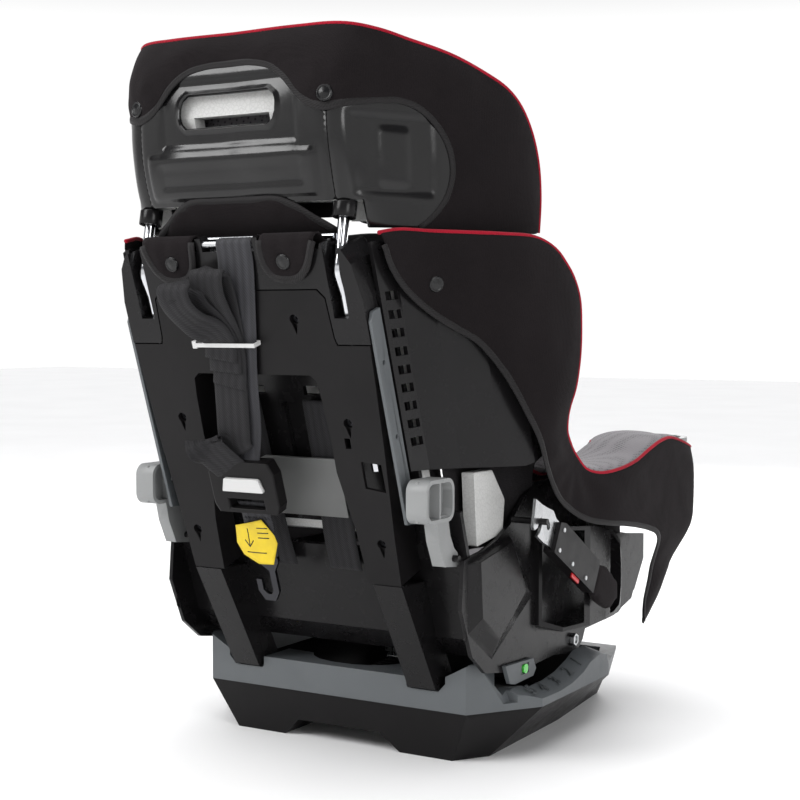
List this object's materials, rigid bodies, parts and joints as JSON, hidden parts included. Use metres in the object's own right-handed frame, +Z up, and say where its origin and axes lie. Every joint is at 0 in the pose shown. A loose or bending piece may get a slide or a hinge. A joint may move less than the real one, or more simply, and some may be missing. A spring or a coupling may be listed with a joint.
{
  "type": "convertible car seat",
  "caption": "Child's convertible car seat with reclining shell on a base, height-adjustable winged headrest, harness, tether and lower connectors.",
  "frame": {"origin": "on the floor under the middle of the base, on the left-right symmetry plane", "axes": "+Z up, +Y to the back of the seat (the child faces -Y), +X to the child's left"},
  "size_m": [0.466, 0.5795, 0.672],
  "materials": {
    "black_plastic": "moulded, fine grain",
    "glossy_black_plastic": "blow-moulded, glossy",
    "gray_plastic": "moulded, satin",
    "light_gray_plastic": "moulded, satin",
    "white_plastic": "moulded",
    "bush_plastic": "moulded, smooth",
    "red_plastic": "moulded, satin",
    "chrome_rod": "polished",
    "zinc_steel": "zinc plated",
    "black_steel": "blackened",
    "white_foam": "expanded bead foam",
    "black_fabric": "knitted polyester with crimson piping",
    "black_webbing": "woven",
    "yellow_tag": "woven label",
    "green_indicator": "clear"
  },
  "bodies": {
    "base": {"base_tub": "black_plastic", "base_trim": "gray_plastic", "recline_rack": "black_plastic"},
    "seat": {"seat_shell": "black_plastic", "guide_axle": "zinc_steel", "rear_cover": "black_plastic", "rear_cover_screws": "black_steel", "shoulder_housing": "black_plastic", "tether_anchor_bar": "zinc_steel", "rod_bushes": "bush_plastic", "side_strips": "gray_plastic", "side_panels": "black_plastic", "back_foam": "white_foam", "seat_foam": "white_foam", "back_pad": "black_fabric", "seat_pad": "black_fabric", "seat_cover": "black_fabric", "level_housing": "gray_plastic", "level_bubble": "green_indicator", "shoulder_straps": "black_webbing", "shoulder_pads": "black_fabric", "rear_straps": "black_webbing", "guide_plate": "gray_plastic", "crotch_strap": "black_webbing", "buckle_body": "black_plastic", "buckle_tongues": "zinc_steel", "chest_clip": "black_plastic", "harness_adjuster": "zinc_steel", "adjuster_strap": "black_webbing", "tether_strap": "black_webbing", "zip_tie": "white_plastic", "tether_adjuster": "black_plastic", "tether_tag": "yellow_tag", "tether_hook": "zinc_steel"},
    "headrest": {"headrest_shell": "glossy_black_plastic", "headrest_foam": "white_foam", "headrest_cover": "black_fabric", "headrest_rods": "chrome_rod", "headrest_crossbar": "zinc_steel", "rod_collars": "black_plastic"},
    "headrest_lever": {"headrest_release_lever": "black_plastic"},
    "recline_pull": {"recline_handle": "gray_plastic", "recline_link": "zinc_steel"},
    "recline_lock": {"recline_lock_pin": "zinc_steel"},
    "left_lockoff": {"left_lockoff_lever": "light_gray_plastic"},
    "right_lockoff": {"right_lockoff_lever": "light_gray_plastic"},
    "left_latch": {"left_latch_hook": "zinc_steel", "left_latch_body": "black_plastic", "left_latch_sleeve": "black_fabric"},
    "right_latch": {"right_latch_hook": "zinc_steel", "right_latch_body": "black_plastic", "right_latch_sleeve": "black_fabric"},
    "left_latch_release": {"left_latch_button": "red_plastic"},
    "right_latch_release": {"right_latch_button": "red_plastic"},
    "left_cup": {"left_cup_holder": "light_gray_plastic"},
    "right_cup": {"right_cup_holder": "light_gray_plastic"},
    "buckle_release": {"buckle_button": "red_plastic"},
    "chest_clip_release": {"chest_clip_button": "black_plastic"},
    "harness_release": {"harness_release_lever": "black_plastic"},
    "tether_release": {"tether_release_button": "white_plastic"}
  },
  "joints": [
    {"name": "recline", "type": "hinge", "parent": "base", "child": "seat", "pos_m": [0, 0.06, 0.24], "axis": [1, 0, 0], "range_deg": [0, 10]},
    {"name": "headrest_height", "type": "slide", "parent": "seat", "child": "headrest", "axis": [0, 0.3173, 0.9483], "range_m": [0, 0.125]},
    {"name": "headrest_lever_squeeze", "type": "slide", "parent": "headrest", "child": "headrest_lever", "axis": [0, 0, 1], "range_m": [0, 0.006], "stiffness_N_per_m": 600, "springref_m": -0.003},
    {"name": "recline_handle_pull", "type": "slide", "parent": "seat", "child": "recline_pull", "axis": [0, -1, 0], "range_m": [-0.009, 0], "stiffness_N_per_m": 800, "springref_m": -0.012},
    {"name": "recline_lock_lift", "type": "slide", "parent": "seat", "child": "recline_lock", "axis": [0, 0.1392, 0.9903], "range_m": [-0.0045, 0]},
    {"name": "left_lockoff_swing", "type": "hinge", "parent": "seat", "child": "left_lockoff", "pos_m": [0, 0.2075, 0.205], "axis": [-1, 0, 0], "range_deg": [0, 35]},
    {"name": "right_lockoff_swing", "type": "hinge", "parent": "seat", "child": "right_lockoff", "pos_m": [0, 0.2075, 0.205], "axis": [-1, 0, 0], "range_deg": [0, 35]},
    {"name": "left_latch_swing", "type": "hinge", "parent": "seat", "child": "left_latch", "pos_m": [0.205, 0.122, 0.232], "axis": [1, 0, 0], "range_deg": [0, 25]},
    {"name": "right_latch_swing", "type": "hinge", "parent": "seat", "child": "right_latch", "pos_m": [-0.205, 0.122, 0.232], "axis": [1, 0, 0], "range_deg": [0, 25]},
    {"name": "left_latch_button_push", "type": "slide", "parent": "left_latch", "child": "left_latch_release", "axis": [0, -0.5018, 0.865], "range_m": [0, 0.003], "stiffness_N_per_m": 500, "springref_m": -0.002},
    {"name": "right_latch_button_push", "type": "slide", "parent": "right_latch", "child": "right_latch_release", "axis": [0, -0.5018, 0.865], "range_m": [0, 0.003], "stiffness_N_per_m": 500, "springref_m": -0.002},
    {"name": "left_cup_lift", "type": "slide", "parent": "seat", "child": "left_cup", "axis": [0, 0, 1], "range_m": [0, 0.1]},
    {"name": "right_cup_lift", "type": "slide", "parent": "seat", "child": "right_cup", "axis": [0, 0, 1], "range_m": [0, 0.1]},
    {"name": "buckle_button_push", "type": "slide", "parent": "seat", "child": "buckle_release", "axis": [0, 1, 0], "range_m": [0, 0.0035], "stiffness_N_per_m": 900, "springref_m": -0.002},
    {"name": "chest_clip_button_push", "type": "slide", "parent": "seat", "child": "chest_clip_release", "axis": [0, 0.9483, -0.3173], "range_m": [0, 0.0025], "stiffness_N_per_m": 600, "springref_m": -0.002},
    {"name": "harness_release_press", "type": "slide", "parent": "seat", "child": "harness_release", "axis": [0, 0, 1], "range_m": [0, 0.006], "stiffness_N_per_m": 300, "springref_m": -0.002},
    {"name": "tether_release_push", "type": "slide", "parent": "seat", "child": "tether_release", "axis": [0, -0.9483, 0.3173], "range_m": [0, 0.0025], "stiffness_N_per_m": 600, "springref_m": -0.002}
  ],
  "couplings": [
    {"joint": "recline_lock_lift", "follows": "recline_handle_pull", "ratio": 0.5}
  ]
}
